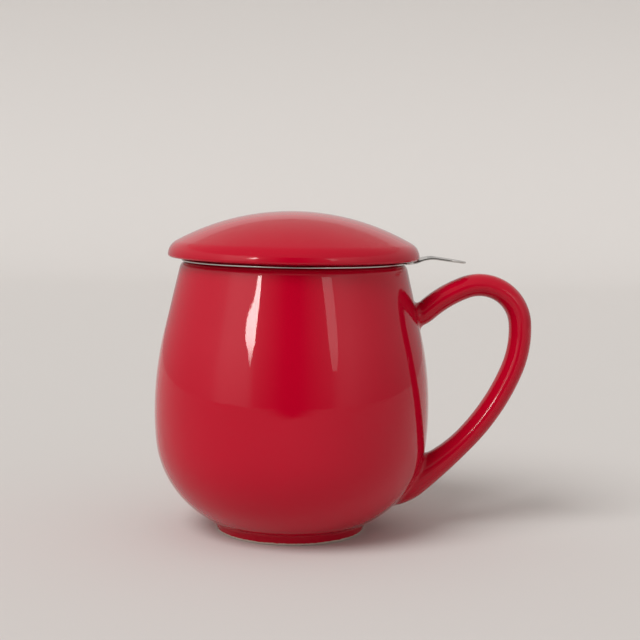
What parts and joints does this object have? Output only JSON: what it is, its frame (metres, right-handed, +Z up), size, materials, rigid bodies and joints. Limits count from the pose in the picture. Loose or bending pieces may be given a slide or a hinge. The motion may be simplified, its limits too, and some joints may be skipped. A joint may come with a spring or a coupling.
{
  "type": "lidded tea mug with infuser",
  "caption": "Round-bellied ceramic tea mug with half-heart handle, domed lift-off lid and a lift-out perforated steel infuser basket.",
  "frame": {"origin": "on the mug's axis in the plane its foot ring stands on", "axes": "+Z up along the mug's axis, +X towards the handle and the infuser's tab, front view along +Y"},
  "size_m": [0.1258, 0.0916, 0.1068],
  "materials": {
    "red_glaze": "glossy red glaze",
    "steel": "satin stainless steel"
  },
  "bodies": {
    "cup": {"mug_body": "red_glaze", "mug_handle": "red_glaze"},
    "basket": {"infuser_rim": "steel", "infuser_collar": "steel", "infuser_wall": "steel", "infuser_base": "steel", "infuser_base_hoop": "steel"},
    "cover": {"lid": "red_glaze"}
  },
  "joints": [
    {"name": "infuser_lift", "type": "slide", "parent": "cup", "child": "basket", "axis": [0, 0, 1], "range_m": [0, 0.075]},
    {"name": "lid_lift", "type": "slide", "parent": "basket", "child": "cover", "axis": [0, 0, 1], "range_m": [0, 0.05]}
  ]
}
